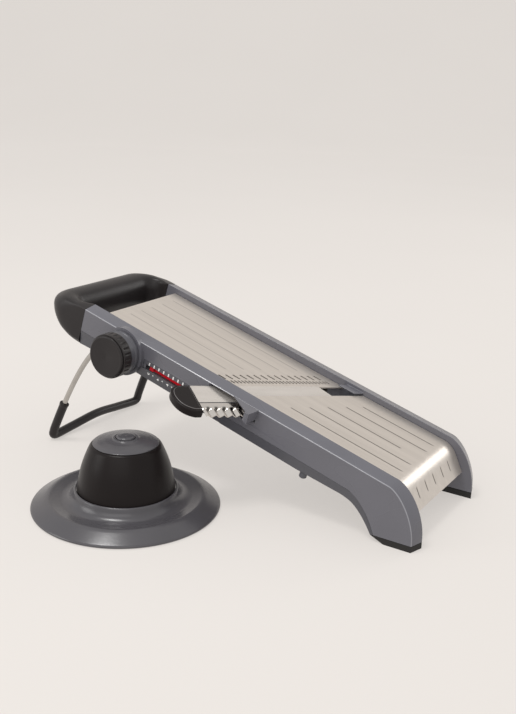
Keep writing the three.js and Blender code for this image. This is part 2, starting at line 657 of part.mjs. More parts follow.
function legHub(side) {
  const hub = crossRod(6.4, LEG_PIVOT, ...span(side, 59.2, 65.9), 24);
  const bore = crossRod(2.5, LEG_PIVOT, ...span(side, 55, 70), 20);
  return hub.subtract(bore).subtract(wireSweep(WIRE_R + GAP));
}

function legPin(side) {
  return crossRod(2.2, LEG_PIVOT, ...span(side, RAIL_IN + 1.1, RAIL_OUT - 1.1), 20);
}

// ---------------------------------------------------------------- food holder, about its own axis
function holderBrim() {
  const profile = [[79.6, 0], [81.2, 0.5], [BRIM_R, 1.8], [80.6, 3], [69.4, 9.2], [66.4, 10.2], [63.4, 9.4],
    [55, 7.4], [50, 8.2], [46.4, 11.6], [44.2, 17.2], [41.8, 17.2], [44.2, 10.4], [49, 6], [55, 5.2],
    [64, 7.2], [67, 7.8], [69, 7], [79.6, 0]];
  return turned(profile, TURNS);
}

function holderDome() {
  const profile = [[42.4, 17.5], [41.6, 22], [40.2, 29], [38.2, 37], [35.6, 44.5], [32, 52], [28.8, 57.2],
    [26.8, 57.2], [30, 51], [33.4, 43.6], [36, 36], [38, 28], [39.2, 22], [40, 17.5], [42.4, 17.5]];
  return turned(profile, TURNS);
}

function holderCap() {
  const profile = [[26.2, 54], [26.2, 57.5], [28.4, 57.5], [28, 58.2], [24, 59.4], [17, 60.8], [11.4, 61.5],
    [10.8, 62.4], [8.6, 62.4], [8.6, 58], [20, 57], [24.4, 54], [26.2, 54]];
  return turned(profile, TURNS);
}

function stemGuide() {
  const ring = turned([[4.4, 27], [4.4, 32.6], [7.8, 32.6], [7.8, 30], [37, 30], [37, 27], [4.4, 27]], TURNS);
  const openings = [0, 1, 2, 3].map((i) => {
    return block([12, 33], [-8, 8], [20, 40]).rotate([0, 0, 90 * i + 45]);
  });
  return openings.reduce((solid, opening) => solid.subtract(opening), ring);
}

function plungerButton() {
  return turned([[0, 60], [8.2, 60], [8.2, 63], [7.2, 63.8], [4, 64.2], [0, 64.3]], 28);
}

function plungerStem() {
  return turned([[0, 26.2], [4, 26.2], [4, 55], [7.6, 55], [7.6, 59.7], [0, 59.7]], 20);
}

function pusherPlate() {
  const disc = turned([[0, 22], [33, 22], [34, 23], [34, 25.9], [0, 25.9]], TURNS);
  const prongs = [[0, 1], [12, 6], [25, 10]].flatMap(([ring, count]) => {
    return Array.from({ length: count }, (_, i) => {
      const turn = (i * 2 * Math.PI) / count;
      const prong = turned([[0, 6], [1.2, 10], [1.2, 22.5], [0, 22.5]], 6);
      return prong.translate([ring * Math.cos(turn), ring * Math.sin(turn), 0]);
    });
  });
  return prongs.reduce((solid, prong) => solid.add(prong), disc);
}

class Coil extends THREE.Curve {
  constructor(radius, z0, z1, turns) {
    super();
    Object.assign(this, { radius, z0, z1, turns });
  }

  getPoint(t, target = new THREE.Vector3()) {
    const angle = t * this.turns * 2 * Math.PI;
    const z = this.z0 + t * (this.z1 - this.z0);
    return target.set(this.radius * Math.cos(angle), this.radius * Math.sin(angle), z);
  }
}

function plungerSpring() {
  return sweep(new Coil(6.2, 33.7, 54, 5), 0.7, 6, 50);
}

// ---------------------------------------------------------------- assembly
function buildDeck() {
  const deck = new THREE.Group();
  deck.position.z = DECK_Z;
  deck.rotation.y = TILT;

  deck.add(part('handle_grip', handleGrip(), BLACK));
  for (const [side, label] of [[-1, 'dial_side'], [1, 'far_side']]) {
    deck.add(part(`handle_screw_${label}`, handleScrew(side), BLADE_STEEL));
    deck.add(part(`runway_pin_${label}`, runwayPin(side), BLADE_STEEL));
    deck.add(part(`sled_guide_${label}`, sledGuide(side), INNER));
  }
  deck.add(part('rear_cross_member', rearCrossMember(), SLATE_DARK));
  deck.add(part('front_cross_member', frontCrossMember(), SLATE_DARK));
  deck.add(part('blade_bed', bladeBed(), SLATE_DARK));
  deck.add(part('blade_seat', bladeSeat(), SLATE_DARK));
  deck.add(part('scale_plate', scalePlate(), BLACK));
  deck.add(part('dial_bush', dialBush(), INNER));
  deck.add(part('dial_collar', dialCollar(), SLATE));
  deck.add(part('sled_plate', sledPlate(), INNER));
  deck.add(part('sled_rack', sledRack(), INNER));
  deck.add(part('thickness_pointer', thicknessPointer(), RED));

  const runway = groupOf(
    part('runway_plate', runwayPlate(), STEEL),
    part('runway_carrier', runwayCarrier(), INNER),
    part('fry_comb', comb(FRY, 0.8, 1.8), BLADE_STEEL),
    part('julienne_comb', comb(JULIENNE, 0.6, 1.4), BLADE_STEEL),
  );
  runway.position.set(-HINGE_S, 0, 0);
  runway.rotation.y = RUNWAY_TILT;
  deck.add(runway);

  const dial = groupOf(
    part('dial_knob', dialKnob(), BLACK),
    part('dial_cap', dialCap(), BLACK),
    part('dial_shaft', dialShaft(), BLADE_STEEL),
    part('dial_pinion', dialPinion(), INNER),
    part('dial_clip', dialClip(), BLADE_STEEL),
  );
  dial.position.set(-DIAL_S, 0, DIAL_W);
  deck.add(dial);

  const cartridge = groupOf(
    part('cartridge_grip', cartridgeGrip(), BLACK),
    part('cartridge_frame', cartridgeFrame(), INNER),
    part('straight_blade', straightBlade(), BLADE_STEEL),
    part('wavy_blade', wavyBlade(), BLADE_STEEL),
  );
  cartridge.position.set(-EDGE_S, 0, 0);
  cartridge.rotation.z = -BLADE_ANGLE;
  deck.add(cartridge);
  return deck;
}

function buildHolder() {
  const holder = groupOf(
    part('holder_brim', holderBrim(), BRIM),
    part('holder_dome', holderDome(), BLACK),
    part('holder_cap', holderCap(), BRIM),
    part('stem_guide', stemGuide(), INNER),
    part('plunger_button', plungerButton(), BRIM),
    part('plunger_stem', plungerStem(), INNER),
    part('pusher_plate', pusherPlate(), BLACK),
    part('plunger_spring', plungerSpring(), BLADE_STEEL),
  );
  holder.position.set(HOLDER_X, HOLDER_Y, 0);
  return holder;
}

const slicer = new THREE.Group();
for (const [side, label] of [[-1, 'dial_side'], [1, 'far_side']]) {
  slicer.add(part(`upper_rail_${label}`, upperRail(side), SLATE));
  slicer.add(part(`lower_rail_${label}`, lowerRail(side), SLATE_DARK));
  slicer.add(part(`foot_pad_${label}`, footPad(side), RUBBER));
  slicer.add(part(`bowl_stop_${label}`, bowlStop(side), SLATE_DARK));
  slicer.add(part(`leg_pin_${label}`, legPin(side), BLADE_STEEL));
  slicer.add(part(`leg_hub_${label}`, legHub(side), BLACK));
}
slicer.add(part('landing_plate', landingPlate(), STEEL));
slicer.add(part('leg_wire', legWire(), BLADE_STEEL));
slicer.add(part('leg_sleeve', legSleeve(), BLACK));
slicer.add(buildDeck());
slicer.add(buildHolder());
slicer.position.set(BASE_X, BASE_Y, 0);

const group = new THREE.Group();
group.add(slicer);

export default group;
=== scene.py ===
"""A mandoline slicer and its food holder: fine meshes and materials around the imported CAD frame."""

import json
import math

import bmesh
import bpy
from mathutils import Matrix, Vector


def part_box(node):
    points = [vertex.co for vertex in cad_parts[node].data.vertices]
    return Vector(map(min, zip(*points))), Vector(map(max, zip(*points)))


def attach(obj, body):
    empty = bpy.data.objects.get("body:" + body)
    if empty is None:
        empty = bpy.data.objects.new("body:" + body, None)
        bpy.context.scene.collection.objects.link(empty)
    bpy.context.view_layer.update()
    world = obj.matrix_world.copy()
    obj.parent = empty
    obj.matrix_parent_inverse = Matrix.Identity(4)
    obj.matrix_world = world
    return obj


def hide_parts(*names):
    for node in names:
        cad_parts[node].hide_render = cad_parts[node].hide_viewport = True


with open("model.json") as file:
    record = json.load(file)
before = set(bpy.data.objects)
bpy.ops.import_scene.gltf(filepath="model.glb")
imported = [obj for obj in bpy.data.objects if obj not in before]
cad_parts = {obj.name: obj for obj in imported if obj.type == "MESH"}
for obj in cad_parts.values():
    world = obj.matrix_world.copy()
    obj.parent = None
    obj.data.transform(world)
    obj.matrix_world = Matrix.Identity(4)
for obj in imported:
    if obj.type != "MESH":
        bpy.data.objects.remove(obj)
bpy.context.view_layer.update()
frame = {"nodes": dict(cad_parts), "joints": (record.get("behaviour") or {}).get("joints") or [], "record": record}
JOINTS = {joint["name"]: joint for joint in frame["joints"]}

# ---------------------------------------------------------------- sizes, in millimetres
# S is a distance up the deck from the toes, W a height over the deck.
MM = 0.001
RAIL_OUT, RAIL_IN, RAIL_WALL = 69.0, 56.1, 2.5
RIDGE, CREASE = 5.5, 2.9
SPLIT, RAIL_BOTTOM, RAIL_END, LEAN = -19.5, -30.0, 360.0, 2.6
DECK_Z = 41.1
PAD_HEIGHT, PAD_BACK = 5.3, -40.0
PLATE_HALF, SHEET, GAP = 55.6, 1.2, 0.3
BLADE_ANGLE = math.radians(30)
EDGE_S, LANDING_GAP, BAR_WIDTH = 169.5, 16.9, 40.0
BAR_TILT = math.radians(6)
BAR_OUT, BAR_IN, BAR_REACH, SEAM_X = -100.0, 32.0, 62.0, 23.6
MOUTH_TOP = 2.2
HINGE_S, RUNWAY_TOP = 344.0, 348.5
RUNWAY_TILT = math.radians(0.5)
DIAL_S, DIAL_W, DIAL_R, BOSS_R, BOSS_OUT = 306.0, -14.0, 20.5, 22.5, 3.7
WINDOW = {"near": 222.0, "far": 280.0, "recess": -10.9, "top": -14.7}
POINTER_S, MARK_PITCH = 275.0, 5.6
LEG_S, LEG_W, LEG_Y = 332.0, -22.0, 62.5
WIRE_R, SLEEVE_R, SLEEVE_TOP = 2.5, 4.3, 46.0

# ---------------------------------------------------------------- frames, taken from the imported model
slide = Vector(JOINTS["sled_slide"]["axis"])
TILT = math.atan2(-slide.z, slide.x)
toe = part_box("foot_pad_dial_side")
far_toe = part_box("foot_pad_far_side")
BASE = Vector((toe[1].x, (toe[0].y + far_toe[1].y) / 2, 0)) / MM
SLICER = Matrix.Translation(BASE)
DECK = SLICER @ Matrix.Translation((0, 0, DECK_Z)) @ Matrix.Rotation(TILT, 4, "Y")
BLADE = DECK @ Matrix.Translation((-EDGE_S, 0, 0)) @ Matrix.Rotation(-BLADE_ANGLE, 4, "Z")
BAR = BLADE @ Matrix.Rotation(BAR_TILT, 4, "Y")
RUNWAY = DECK @ Matrix.Translation((-HINGE_S, 0, 0)) @ Matrix.Rotation(RUNWAY_TILT, 4, "Y")
DIAL = DECK @ Matrix.Translation((-DIAL_S, 0, DIAL_W)) @ Matrix.Rotation(math.pi / 2, 4, "X")
brim_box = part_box("holder_brim")
HOLDER = Matrix.Translation(((brim_box[0] + brim_box[1]) / 2 * Vector((1, 1, 0))) / MM)


def on_deck(s, w):
    """A point s up the deck from the toes and w above it, in the slicer's XZ plane."""
    return (-s * math.cos(TILT) + w * math.sin(TILT), DECK_Z + s * math.sin(TILT) + w * math.cos(TILT))


def deck_height(x, z):
    """How far a point of the slicer's XZ plane lies above the deck."""
    return x * math.sin(TILT) + (z - DECK_Z) * math.cos(TILT)


# ---------------------------------------------------------------- materials
def new_material(name, colour, roughness, metallic=0.0):
    material = bpy.data.materials.new(name)
    material.use_nodes = True
    shader = material.node_tree.nodes["Principled BSDF"]
    shader.inputs["Base Color"].default_value = (*colour, 1)
    shader.inputs["Roughness"].default_value = roughness
    shader.inputs["Metallic"].default_value = metallic
    return material, material.node_tree, shader


def coordinates(tree, size, turn=(0, 0, 0)):
    """Place in the object's own space, turned and then divided by a feature size for each axis."""
    source = tree.nodes.new("ShaderNodeTexCoord")
    mapping = tree.nodes.new("ShaderNodeMapping")
    mapping.vector_type = "TEXTURE"
    mapping.inputs["Rotation"].default_value = turn
    mapping.inputs["Scale"].default_value = size
    tree.links.new(source.outputs["Object"], mapping.inputs["Vector"])
    return mapping.outputs["Vector"]


def noise(tree, vector, detail=2.0):
    texture = tree.nodes.new("ShaderNodeTexNoise")
    texture.inputs["Scale"].default_value = 1.0
    texture.inputs["Detail"].default_value = detail
    tree.links.new(vector, texture.inputs["Vector"])
    return texture.outputs["Fac"]


def spread(tree, value, low, high):
    """Noise stretched so that its usual range runs from low to high."""
    node = tree.nodes.new("ShaderNodeMapRange")
    node.inputs["From Min"].default_value = 0.3
    node.inputs["From Max"].default_value = 0.7
    node.inputs["To Min"].default_value = low
    node.inputs["To Max"].default_value = high
    tree.links.new(value, node.inputs["Value"])
    return node.outputs["Result"]


def tint(tree, factor, first, second):
    node = tree.nodes.new("ShaderNodeMix")
    node.data_type = "RGBA"
    colours = [socket for socket in node.inputs if socket.type == "RGBA"]
    for socket, colour in zip(colours, (first, second)):
        if isinstance(colour, bpy.types.NodeSocket):
            tree.links.new(colour, socket)
        else:
            socket.default_value = (*colour, 1)
    tree.links.new(factor, node.inputs["Factor"])
    return next(socket for socket in node.outputs if socket.type == "RGBA")


def bump(tree, shader, height, distance, strength=1.0):
    node = tree.nodes.new("ShaderNodeBump")
    node.inputs["Distance"].default_value = distance
    node.inputs["Strength"].default_value = strength
    tree.links.new(height, node.inputs["Height"])
    tree.links.new(node.outputs["Normal"], shader.inputs["Normal"])


def moulded(name, colour, roughness, grain=0.0005, depth=0.00003, mottle=0.04, gloss=0.4):
    """Moulded plastic or rubber: a fine spark-eroded grain and slow changes of shade and gloss."""
    material, tree, shader = new_material(name, colour, roughness)
    shader.inputs["Specular IOR Level"].default_value = gloss
    slow = noise(tree, coordinates(tree, (0.045, 0.03, 0.03)), 1)
    fine = noise(tree, coordinates(tree, (grain, grain, grain)), 2)
    darker = [value * (1 - mottle) for value in colour]
    lighter = [value * (1 + mottle) for value in colour]
    shade = tint(tree, spread(tree, slow, 0, 1), darker, lighter)
    worn = tint(tree, spread(tree, fine, 0, 0.1), shade, [min(1, value * 1.5 + 0.01) for value in colour])
    tree.links.new(worn, shader.inputs["Base Color"])
    tree.links.new(spread(tree, slow, roughness - 0.01, roughness + 0.015), shader.inputs["Roughness"])
    bump(tree, shader, fine, depth)
    return material


def brushed(name, colour, roughness, turn, line=0.00035, length=0.12, groove=None, metal=1.0):
    """Brushed metal: long hair lines in one direction, faint bands, and painted shade in the pressed grooves."""
    material, tree, shader = new_material(name, colour, roughness, metal)
    hair = noise(tree, coordinates(tree, (length, line, line), turn), 3)
    bands = noise(tree, coordinates(tree, (length * 3, 0.006, 0.006), turn), 2)
    clouds = noise(tree, coordinates(tree, (0.09, 0.05, 0.05)), 2)
    darker = [value * 0.93 for value in colour]
    lighter = [min(1, value * 1.05) for value in colour]
    shade = tint(tree, spread(tree, bands, 0, 1), darker, lighter)
    shade = tint(tree, spread(tree, hair, 0, 0.5), shade, [value * 0.88 for value in colour])
    # The groove colour is painted shade, laid where the sheet's groove attribute marks a pressed groove.
    if groove:
        mask = tree.nodes.new("ShaderNodeAttribute")
        mask.attribute_name = "groove"
        shade = tint(tree, mask.outputs["Fac"], shade, groove)
    tree.links.new(shade, shader.inputs["Base Color"])
    tree.links.new(spread(tree, clouds, roughness - 0.03, roughness + 0.04), shader.inputs["Roughness"])
    bump(tree, shader, hair, 0.00002, 0.6)
    return material


ALONG_DECK = (0, TILT, 0)
ALONG_BLADE = (0, TILT, -BLADE_ANGLE + math.pi / 2)
SLATE = moulded("slate_plastic", (0.115, 0.114, 0.132), 0.27, gloss=0.6)
# A lighter slate for the rails' crease chamfer: a painted highlight.
SLATE_PAINTED_HIGHLIGHT = moulded("slate_plastic_painted_highlight", (0.25, 0.25, 0.275), 0.24, gloss=0.6)
SLATE_DARK = moulded("slate_plastic_under", (0.08, 0.08, 0.092), 0.33)
BLACK = moulded("soft_touch_black", (0.0200, 0.0172, 0.0175), 0.33, 0.0004, 0.00004, 0.08, 0.24)
# A lighter black for the rim of the blade grip's panel: a painted highlight.
BLACK_PAINTED_HIGHLIGHT = moulded("soft_touch_black_painted_highlight", (0.12, 0.11, 0.11), 0.3, 0.0004, 0.00004, 0.08, 0.4)
SHELL_BLACK = moulded("dome_black", (0.0095, 0.0070, 0.0068), 0.32, 0.0004, 0.00003, 0.08, 0.15)
RUBBER = moulded("foot_rubber", (0.014, 0.013, 0.012), 0.7, 0.0008, 0.00006)
BRIM = moulded("holder_grey", (0.062, 0.059, 0.066), 0.24, gloss=0.6)
INNER = moulded("inner_plastic", (0.055, 0.056, 0.062), 0.5)
RED = moulded("pointer_red", (0.52, 0.004, 0.014), 0.4, 0.0008, 0.00002, gloss=0.2)
WHITE = moulded("printed_white", (0.78, 0.78, 0.77), 0.5, 0.0003, 0.00001)
# The last colour given to PLATE, STEEL and RIPPLE is the painted shade of their grooves and ripple notches.
PLATE = brushed("plate_steel", (0.645, 0.595, 0.545), 0.32, ALONG_DECK, groove=(0.10, 0.085, 0.07), metal=0.7)
STEEL = brushed("blade_steel", (0.68, 0.64, 0.60), 0.24, ALONG_BLADE, 0.00025, 0.03, (0.05, 0.045, 0.04), 0.7)
TEETH = brushed("comb_steel", (0.10, 0.09, 0.08), 0.4, ALONG_BLADE, 0.00025, 0.03)
RIPPLE = brushed("rippled_steel", (0.66, 0.62, 0.58), 0.18, ALONG_BLADE, 0.00025, 0.03, (0.05, 0.045, 0.04))
WIRE = brushed("wire_steel", (0.50, 0.48, 0.45), 0.22, (0, 0, 0), 0.0008, 0.004)


# ---------------------------------------------------------------- meshes
def linked(name, data):
    """A new object with this data, in the scene."""
    obj = bpy.data.objects.new(name, data)
    bpy.context.scene.collection.objects.link(obj)
    return obj


def make(name, places, faces, matrix=Matrix.Identity(4)):
    """A mesh object from places in millimetres in the matrix's frame, with its faces turned outwards."""
    mesh = bpy.data.meshes.new(name)
    mesh.from_pydata([(matrix @ Vector(place)) * MM for place in places], [], faces)
    work = bmesh.new()
    work.from_mesh(mesh)
    bmesh.ops.recalc_face_normals(work, faces=work.faces)
    work.to_mesh(mesh)
    work.free()
    return linked(name, mesh)


def skin(rows, columns, ring=False, tube=False):
    """Faces of a grid of places; ring closes each row on itself, tube joins the last row to the first."""
    faces = []
    for r in range(rows if tube else rows - 1):
        below = (r + 1) % rows
        for c in range(columns if ring else columns - 1):
            right = (c + 1) % columns
            faces.append((r * columns + c, r * columns + right, below * columns + right, below * columns + c))
    return faces


def stack(name, rings, matrix):
    """Rings of as many places each, joined in order and closed at both ends."""
    size = len(rings[0])
    faces = skin(len(rings), size, ring=True)
    faces += [tuple(range(size)), tuple(range((len(rings) - 1) * size, len(rings) * size))]
    return make(name, [place for ring in rings for place in ring], faces, matrix)


def prism(name, outline, y0, y1, matrix=SLICER):
    """An outline in the XZ plane, carried from y0 to y1."""
    return stack(name, [[(x, y, z) for x, z in outline] for y in (y0, y1)], matrix)


def slab(name, outline, z0, z1, matrix=DECK):
    """An outline in the XY plane, carried from z0 to z1."""
    return stack(name, [[(x, y, z) for x, y in outline] for z in (z0, z1)], matrix)


def box(name, low, high, matrix=DECK):
    (x0, y0, z0), (x1, y1, z1) = low, high
    return slab(name, [(x0, y0), (x1, y0), (x1, y1), (x0, y1)], z0, z1, matrix)


def lathe(name, profile, segments, matrix):
    """A closed profile of radius and height, turned about the Z axis."""
    rows = []
    for radius, height in profile:
        turns = [2 * math.pi * i / segments for i in range(segments)]
        rows.append([(radius * math.cos(a), radius * math.sin(a), height) for a in turns])
    obj = make(name, [p for row in rows for p in row], skin(len(rows), segments, True, True), matrix)
    work = bmesh.new()
    work.from_mesh(obj.data)
    bmesh.ops.remove_doubles(work, verts=work.verts, dist=1e-7)
    bmesh.ops.recalc_face_normals(work, faces=work.faces)
    work.to_mesh(obj.data)
    work.free()
    return obj


def bend(a, b, c, steps):
    """Places on the quadratic Bezier curve that leaves a towards b and ends at c."""
    a, b, c = Vector(a), Vector(b), Vector(c)
    turns = [i / steps for i in range(steps + 1)]
    return [a * (1 - t) ** 2 + b * 2 * t * (1 - t) + c * t ** 2 for t in turns]


def soften(points, reach, steps=5):
    """Rounds each corner of a closed flat outline over the given reach, or half the shorter side."""
    result = []
    for i, here in enumerate(points):
        here = Vector(here)
        before = Vector(points[i - 1]) - here
        after = Vector(points[(i + 1) % len(points)]) - here
        size = min(reach, before.length * 0.5, after.length * 0.5)
        start, end = here + before.normalized() * size, here + after.normalized() * size
        result += [tuple(place) for place in bend(start, here, end, steps)]
    return result


def curve_points(points, divisions):
    """A cubic Bezier curve of four points."""
    a, b, c, d = (Vector(point) for point in points)
    result = []
    for i in range(divisions + 1):
        t = i / divisions
        u = 1 - t
        result.append(tuple(a * u ** 3 + b * 3 * u * u * t + c * 3 * u * t * t + d * t ** 3))
    return result


def final_mesh(obj):
    """A new mesh of what an object's curve or modifiers come to."""
    bpy.context.view_layer.update()
    depsgraph = bpy.context.evaluated_depsgraph_get()
    return bpy.data.meshes.new_from_object(obj.evaluated_get(depsgraph), depsgraph=depsgraph)


def applied(obj):
    """Turns an object's modifiers into its mesh."""
    mesh = final_mesh(obj)
    obj.modifiers.clear()
    obj.data = mesh
    return obj


def combine(obj, other, operation):
    """Cuts or joins with another object, which is used up."""
    modifier = obj.modifiers.new("shape", "BOOLEAN")
    modifier.operation = operation
    modifier.solver = "EXACT"
    modifier.object = other
    applied(obj)
    bpy.data.objects.remove(other)
    return obj


def cut(obj, *cutters):
    for cutter in cutters:
        combine(obj, cutter, "DIFFERENCE")
    return obj


def join(obj, *others):
    for other in others:
        combine(obj, other, "UNION")
    return obj


def merged(name, objects):
    """Separate closed pieces as one object, without joining their surfaces."""
    work = bmesh.new()
    for obj in objects:
        work.from_mesh(obj.data)
        bpy.data.objects.remove(obj)
    mesh = bpy.data.meshes.new(name)
    work.to_mesh(mesh)
    work.free()
    return linked(name, mesh)


def soft_edges(obj, width, segments):
    bevel = obj.modifiers.new("edges", "BEVEL")
    bevel.width = width * MM
    bevel.segments = segments
    bevel.limit_method = "ANGLE"
    bevel.angle_limit = math.radians(35)
    bevel.harden_normals = True
    return bevel


def dress(obj, material, body, replaced=(), edge=0.0, sharp=40, rim=None):
    """Gives a piece its material, soft edges and body, and hides the CAD nodes it replaces; rim is a material for
    its edges alone.
    """
    obj.data.materials.clear()
    obj.data.materials.append(material)
    for face in obj.data.polygons:
        face.use_smooth = True
    obj.data.set_sharp_from_angle(angle=math.radians(sharp))
    if edge:
        bevel = soft_edges(obj, edge, 3)
        if rim:
            obj.data.materials.append(rim)
            bevel.material = 1
    if replaced:
        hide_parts(*replaced)
    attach(obj, body)
    return obj


# ---------------------------------------------------------------- side rails
CHAMFER = 0.6
# Each long line of the upper shell: its height over the deck, and how far it is set back and down at the toe.
TOE = {"ridge": (RIDGE, 0, 0), "crease": (CREASE, 3.6, 2.2),
       "side": (CREASE - CHAMFER, 3.6 + CHAMFER, 2.2 + CHAMFER)}
FINE = 28


def seam_line(side):
    """The joint between the two shells, from the grip down to the toe pad; side is 1 above it, -1 below."""
    half = side * GAP / 2
    seam = curve_points([on_deck(60, SPLIT + half), (-52 + half, 34.3), (-42 + half, 20),
                         (-37.5 + half, PAD_HEIGHT + GAP)], FINE)
    return [on_deck(RAIL_END, SPLIT + half), *seam]


def upper_outline(w, back, drop):
    """The upper shell from the side, with its long line at height w."""
    toe_curve = curve_points([on_deck(30, w), (-13.6 - back, 52.4 - drop), (-back, 30 - drop),
                              (-back, PAD_HEIGHT + 3)], FINE)
    return [on_deck(RAIL_END, w), *toe_curve, (-back, PAD_HEIGHT + GAP), *reversed(seam_line(1))]


HOLLOW = [on_deck(357, 0.2), on_deck(36, 0.2), (-19, 41), (-11, 29), (-7.6, 14), (-7.6, -5), (-60, -5),
          on_deck(100, -60), on_deck(357, -60)]


def channel(side):
    """The hollow's two sides, across the slicer."""
    inner, outer = side * (RAIL_IN + RAIL_WALL), side * (RAIL_OUT - RAIL_WALL)
    return min(inner, outer), max(inner, outer)


def dial_rod(name, radius, y0, y1):
    """A cylinder on the dial's axis; the dial's own Z axis points outwards, to -Y."""
    profile = [(0, -y1), (radius, -y1), (radius, -y0), (0, -y0)]
    return lathe(name, profile, 96, DIAL)


def half_boss(low, high):
    """The part of the dial's boss between two heights over the deck."""
    boss = dial_rod("boss", BOSS_R, -RAIL_OUT - BOSS_OUT, -RAIL_OUT + 3)
    return combine(boss, box("band", (-RAIL_END, -80, low), (0, -60, high)), "INTERSECT")


def hood():
    """A small roof and its foot, outside the rail beside the cartridge's mouth."""
    top = slab("hood", [(-189, -66), (-161, -82.6), (-159, -82.6), (-157.5, -66)], -6.5, CREASE - 0.1)
    foot = slab("hood_foot", [(-184, -66), (-166, -75), (-162, -75), (-159, -66)], -12, -6)
    return join(top, foot)


def near_details(rail):
    """The dial's boss, the hood over the cartridge, the scale's window and the cartridge's mouth."""
    join(rail, half_boss(SPLIT + GAP / 2, 40), hood())
    cut(rail, prism("hollow", HOLLOW, *channel(-1)))
    near, far, bottom = WINDOW["near"], WINDOW["far"], SPLIT - 1
    cut(rail, box("pane", (-far, -80, bottom), (-near, -RAIL_OUT + 4, WINDOW["top"])),
        box("inside", (-far, -60, bottom), (-near, -50, WINDOW["top"])),
        box("recess", (-far - 3, -80, bottom), (-near, -RAIL_OUT + 1, WINDOW["recess"])),
        dial_rod("bore", 5.3, -80, -40),
        box("mouth", (-1.4, -140, -10), (BAR_WIDTH + 4.5, -30, MOUTH_TOP), BLADE))


def far_details(rail):
    """The lug over the far end of the throat."""
    cut(rail, prism("hollow", HOLLOW, *channel(1)))
    lug = box("lug", (0.6, 40, 1), (LANDING_GAP - 0.6, 80, 2.4), BLADE)
    join(rail, combine(lug, box("reach", (-RAIL_END, 47, 0), (0, 57, 10)), "INTERSECT"))


def light_crease(rail):
    """The narrow chamfer between the rail's top and its side gets a lighter slate: a painted highlight along the
    crease.
    """
    rail.data.materials.append(SLATE_PAINTED_HIGHLIGHT)
    low, high = RAIL_OUT - CHAMFER - 0.02, RAIL_OUT + 0.02
    for face in rail.data.polygons:
        reach = [abs(rail.data.vertices[v].co.y / MM - BASE.y) for v in face.vertices]
        if 0.3 < abs(face.normal.y) < 0.97 and low < min(reach) and max(reach) < high:
            face.material_index = 1


def upper_rail(side, label):
    across = {"ridge": RAIL_IN, "crease": RAIL_OUT - CHAMFER, "side": RAIL_OUT}
    rings = [[(x, side * y, z) for x, z in upper_outline(*TOE[line])] for line, y in across.items()]
    rail = stack(f"rail_{label}", rings, SLICER)
    if side < 0:
        near_details(rail)
    else:
        far_details(rail)
    dress(rail, SLATE, "slicer", [f"upper_rail_{label}"], 0.9)
    light_crease(rail)


def lower_rail(side, label):
    """The lower shell: from the seam down, arched behind the toe pad, and hollow from below."""
    arch = curve_points([(-74, 33.3), (-60, 30.5), (-50, 21), (PAD_BACK - GAP, PAD_HEIGHT + GAP)], FINE)
    outline = [*seam_line(-1), *reversed(arch), on_deck(110, RAIL_BOTTOM), on_deck(290, RAIL_BOTTOM),
               on_deck(RAIL_END, RAIL_BOTTOM - 4)]

    def outer_y(x, z):
        """The lower shell leans in towards its bottom edge, and is full width at the toe pad."""
        depth = min(1, max(0, (SPLIT - deck_height(x, z)) / (SPLIT - RAIL_BOTTOM)))
        return RAIL_OUT - LEAN * depth * min(1, max(0, (z - 6) / 22))

    rings = [[(x, side * RAIL_IN, z) for x, z in outline], [(x, side * outer_y(x, z), z) for x, z in outline]]
    rail = stack(f"under_rail_{label}", rings, SLICER)
    if side < 0:
        join(rail, half_boss(-60, SPLIT - GAP / 2))
    low, high = channel(side)
    cut(rail, box("open", (-346, low, -60), (-192, high, 0)),
        box("floored", (-192.5, low, RAIL_BOTTOM + RAIL_WALL), (-95, high, 0)))
    dress(rail, SLATE_DARK, "slicer", [f"lower_rail_{label}"], 0.6)


# ---------------------------------------------------------------- grip
# Sections of the grip: across from -1 (inner side) to 1 (outer side), and height over the deck.
GRIP_JOINT = [(-1, RIDGE), (0, 4.2), (1, CREASE), (1, -8), (1, -15), (1, -22), (1, -30),
              (0.6, -33.8), (-0.6, -33.8), (-1, -30), (-1, -18), (-1, -6)]
GRIP_BAR = [(-0.4, 2.4), (0.1, 2.4), (0.45, 0), (0.88, -6), (1, -11), (0.84, -20), (0.42, -27),
            (-0.1, -32.5), (-0.6, -32), (-0.95, -26), (-1, -16), (-0.8, -4)]
GRIP_SCALE = 10
GRIP_OUT = {"half": RAIL_OUT, "end": 413.0, "radius": 26.0}
GRIP_IN = {"half": RAIL_IN, "end": 377.0, "radius": 11.0}


def grip_edge(t, half, end, radius):
    """A place on one side of the grip's outline: 0 at the rail, 1 to 2 round the corner, 3 at the middle."""
    if t < 1:
        return RAIL_END + GAP + (end - radius - RAIL_END - GAP) * t, half
    if t < 2:
        turn = (t - 1) * math.pi / 2
        return end - radius + radius * math.sin(turn), half - radius + radius * math.cos(turn)
    return end, (half - radius) * (3 - t)


def smooth(t, low, high):
    t = min(1, max(0, (t - low) / (high - low)))
    return t * t * (3 - 2 * t)


def grip_ring(t, side):
    """One section of the grip, blended from the rail's joint to the bar, with its corners rounded."""
    blend = smooth(t, 0.3, 1.75)
    outer, inner = Vector(grip_edge(t, **GRIP_OUT)), Vector(grip_edge(t, **GRIP_IN))
    section = [(GRIP_SCALE * (a + (c - a) * blend), b + (d - b) * blend)
               for (a, b), (c, d) in zip(GRIP_JOINT, GRIP_BAR)]
    places = []
    for across, w in soften(section, 0.8 + 7 * smooth(t, 0.0, 1.4), 4):
        spot = inner + (outer - inner) * (across / GRIP_SCALE + 1) / 2
        places.append((-spot.x, side * spot.y, w))
    return places


